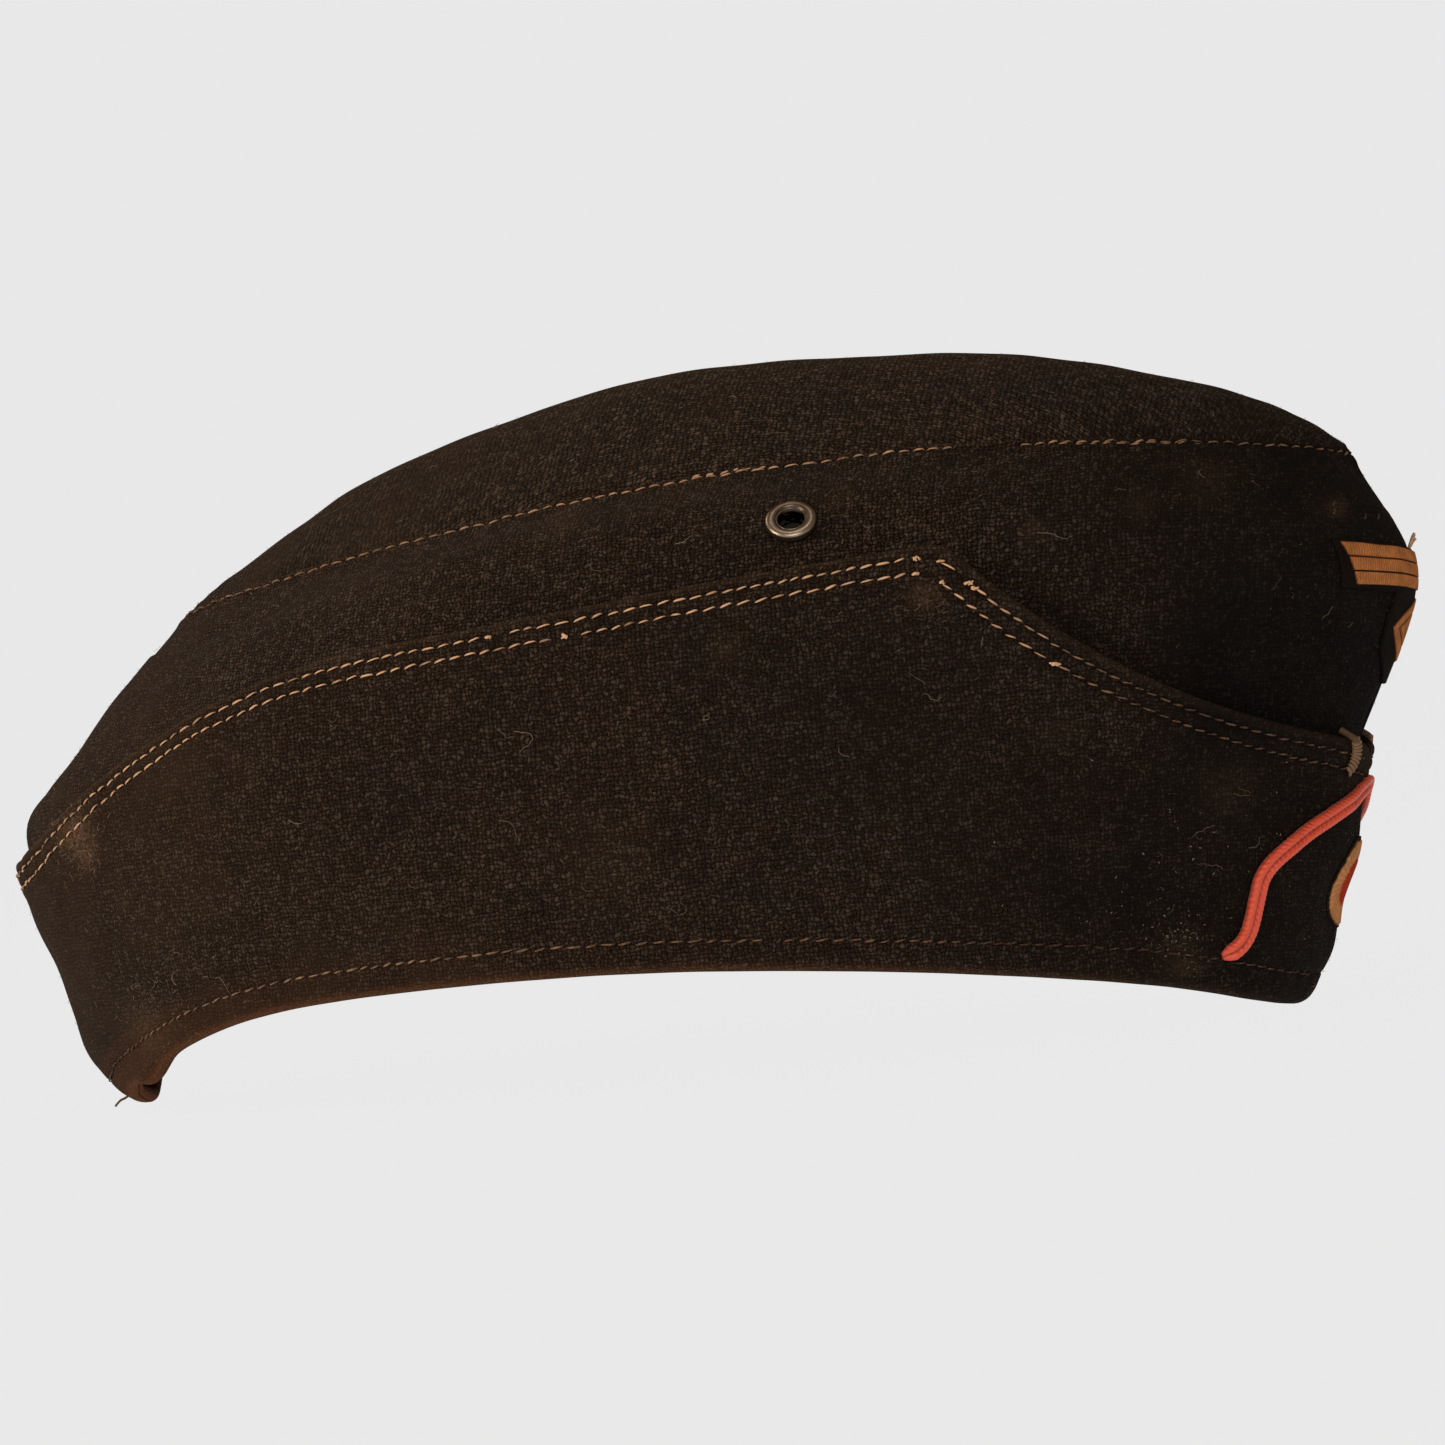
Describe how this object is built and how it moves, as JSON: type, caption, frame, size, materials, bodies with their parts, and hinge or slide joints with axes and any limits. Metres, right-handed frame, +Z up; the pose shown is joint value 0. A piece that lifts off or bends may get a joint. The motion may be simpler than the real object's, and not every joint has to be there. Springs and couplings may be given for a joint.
{
  "type": "side cap",
  "caption": "Soft military side cap: boat-shaped crown, turned-up scalloped curtain, vent eyelets, front braid, woven roundel and woven bar patch.",
  "frame": {"origin": "bottom centre of the cap's box: the ground under the rim, midway along the length", "axes": "+X towards the front, +Y to the wearer's left, +Z up towards the crown's ridge"},
  "size_m": [0.2762, 0.1564, 0.1306],
  "materials": {
    "body_wool": "black melton wool, faded brown, matte",
    "curtain_wool": "black melton wool, faded brown, matte",
    "facing_cotton": "dark cotton twill, matte",
    "lining_cotton": "grey cotton twill, matte",
    "band_leather": "brown leather, worn satin",
    "eyelet_metal": "dark bronzed sheet, worn satin",
    "braid_rayon": "coral soutache braid, soft sheen",
    "woven_roundel": "woven thread, matte",
    "woven_badge": "woven thread, matte",
    "tack_thread": "cotton thread, matte"
  },
  "bodies": {
    "root": {"side_panel_right": "body_wool", "side_panel_left": "body_wool", "crown_panel": "body_wool", "curtain_right": "curtain_wool", "curtain_left": "curtain_wool", "curtain_facing_right": "facing_cotton", "curtain_facing_left": "facing_cotton", "lining_side_right": "lining_cotton", "lining_side_left": "lining_cotton", "lining_crown": "lining_cotton", "sweatband": "band_leather", "eyelet_right": "eyelet_metal", "eyelet_left": "eyelet_metal", "eyelet_washer_right": "eyelet_metal", "eyelet_washer_left": "eyelet_metal", "soutache_braid": "braid_rayon", "cockade_patch": "woven_roundel", "badge_patch": "woven_badge", "front_bar_tack_right": "tack_thread", "front_bar_tack_left": "tack_thread"}
  },
  "joints": []
}
